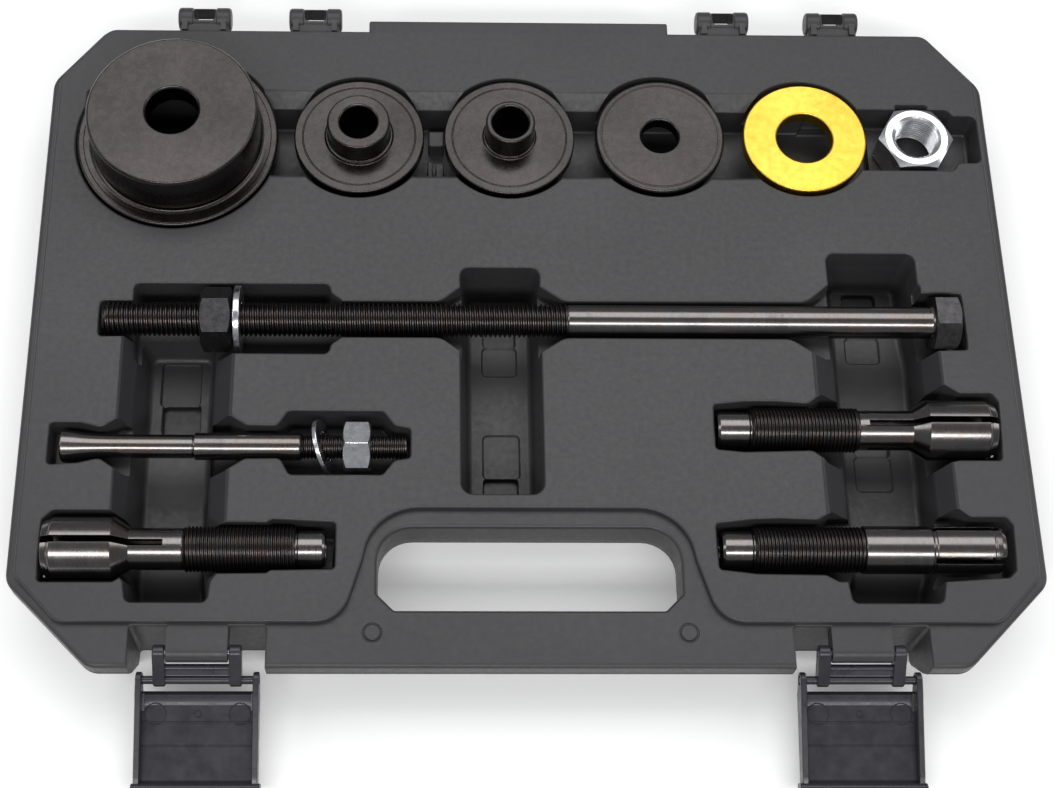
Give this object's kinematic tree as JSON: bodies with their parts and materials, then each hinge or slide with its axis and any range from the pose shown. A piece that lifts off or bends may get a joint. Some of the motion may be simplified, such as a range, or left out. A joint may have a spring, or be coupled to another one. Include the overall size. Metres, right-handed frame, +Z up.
{
  "type": "puller and installer tool set in a case base",
  "caption": "Bushing and bearing puller set with slit collets, expander rod, long bolt, receiver cup and driver discs, laid out in the base of a moulded carrying case with latches.",
  "frame": {"origin": "middle of the case's flat resting face", "axes": "+Z up, +X to the right along the handle side, -Y towards the handle and latches"},
  "size_m": [0.412, 0.3521, 0.061],
  "materials": {
    "case_plastic": "fine-grained matte",
    "latch_plastic": "semi-gloss moulded",
    "latch_pin_steel": "drawn",
    "black_oxide_steel": "black oxide over turned steel",
    "zinc_steel": "bright zinc",
    "yellow_zinc": "yellow zinc"
  },
  "bodies": {
    "root": {"case_base": "case_plastic", "latch_pin_left": "latch_pin_steel", "latch_pin_right": "latch_pin_steel"},
    "latch_link_left": {"latch_link_left": "latch_plastic"},
    "latch_link_right": {"latch_link_right": "latch_plastic"},
    "latch_lever_left": {"latch_lever_left": "latch_plastic"},
    "latch_lever_right": {"latch_lever_right": "latch_plastic"},
    "receiver_cup": {"receiver_cup": "black_oxide_steel"},
    "driver_disc_large_collar": {"driver_disc_large_collar": "black_oxide_steel"},
    "driver_disc_small_collar": {"driver_disc_small_collar": "black_oxide_steel"},
    "driver_plate_flat": {"driver_plate_flat": "black_oxide_steel"},
    "thrust_ring": {"thrust_ring": "yellow_zinc"},
    "collet_nut": {"collet_nut": "zinc_steel"},
    "long_bolt": {"long_bolt": "black_oxide_steel"},
    "expander_rod": {"expander_rod": "black_oxide_steel"},
    "collet_large_a": {"collet_large_a": "black_oxide_steel"},
    "collet_large_b": {"collet_large_b": "black_oxide_steel"},
    "collet_small": {"collet_small": "black_oxide_steel"},
    "long_bolt_nut": {"long_bolt_nut": "black_oxide_steel"},
    "long_bolt_washer": {"long_bolt_washer": "zinc_steel"},
    "expander_nut": {"expander_nut": "zinc_steel"},
    "expander_washer": {"expander_washer": "zinc_steel"}
  },
  "joints": [
    {"name": "receiver_cup_lift", "type": "slide", "parent": "root", "child": "receiver_cup", "axis": [0, 0, 1], "range_m": [0, 0.06]},
    {"name": "driver_disc_large_collar_lift", "type": "slide", "parent": "root", "child": "driver_disc_large_collar", "axis": [0, 0, 1], "range_m": [0, 0.06]},
    {"name": "driver_disc_small_collar_lift", "type": "slide", "parent": "root", "child": "driver_disc_small_collar", "axis": [0, 0, 1], "range_m": [0, 0.06]},
    {"name": "driver_plate_flat_lift", "type": "slide", "parent": "root", "child": "driver_plate_flat", "axis": [0, 0, 1], "range_m": [0, 0.06]},
    {"name": "thrust_ring_lift", "type": "slide", "parent": "root", "child": "thrust_ring", "axis": [0, 0, 1], "range_m": [0, 0.06]},
    {"name": "collet_nut_lift", "type": "slide", "parent": "root", "child": "collet_nut", "axis": [0, 0, 1], "range_m": [0, 0.06]},
    {"name": "long_bolt_lift", "type": "slide", "parent": "root", "child": "long_bolt", "axis": [0, 0, 1], "range_m": [0, 0.06]},
    {"name": "expander_rod_lift", "type": "slide", "parent": "root", "child": "expander_rod", "axis": [0, 0, 1], "range_m": [0, 0.06]},
    {"name": "collet_large_a_lift", "type": "slide", "parent": "root", "child": "collet_large_a", "axis": [0, 0, 1], "range_m": [0, 0.06]},
    {"name": "collet_large_b_lift", "type": "slide", "parent": "root", "child": "collet_large_b", "axis": [0, 0, 1], "range_m": [0, 0.06]},
    {"name": "collet_small_lift", "type": "slide", "parent": "root", "child": "collet_small", "axis": [0, 0, 1], "range_m": [0, 0.06]},
    {"name": "long_bolt_nut_turn", "type": "hinge", "parent": "long_bolt", "child": "long_bolt_nut", "pos_m": [-0.1281, -0.0064, 0.0358], "axis": [1, 0, 0], "continuous": true},
    {"name": "long_bolt_washer_slide", "type": "slide", "parent": "long_bolt", "child": "long_bolt_washer", "axis": [1, 0, 0], "range_m": [0, 0.032]},
    {"name": "expander_nut_turn", "type": "hinge", "parent": "expander_rod", "child": "expander_nut", "pos_m": [-0.069, -0.0624, 0.033], "axis": [1, 0, 0], "continuous": true},
    {"name": "expander_washer_slide", "type": "slide", "parent": "expander_rod", "child": "expander_washer", "axis": [1, 0, 0], "range_m": [-0.006, 0.002]},
    {"name": "latch_link_left_hinge", "type": "hinge", "parent": "root", "child": "latch_link_left", "pos_m": [-0.1297, -0.148, 0.0312], "axis": [-1, 0, 0], "range_deg": [0, 90]},
    {"name": "latch_lever_left_hinge", "type": "hinge", "parent": "latch_link_left", "child": "latch_lever_left", "pos_m": [-0.1297, -0.157, 0.0242], "axis": [-1, 0, 0], "range_deg": [-60, 25]},
    {"name": "latch_link_right_hinge", "type": "hinge", "parent": "root", "child": "latch_link_right", "pos_m": [0.1297, -0.148, 0.0312], "axis": [-1, 0, 0], "range_deg": [0, 90]},
    {"name": "latch_lever_right_hinge", "type": "hinge", "parent": "latch_link_right", "child": "latch_lever_right", "pos_m": [0.1297, -0.157, 0.0242], "axis": [-1, 0, 0], "range_deg": [-60, 25]}
  ]
}
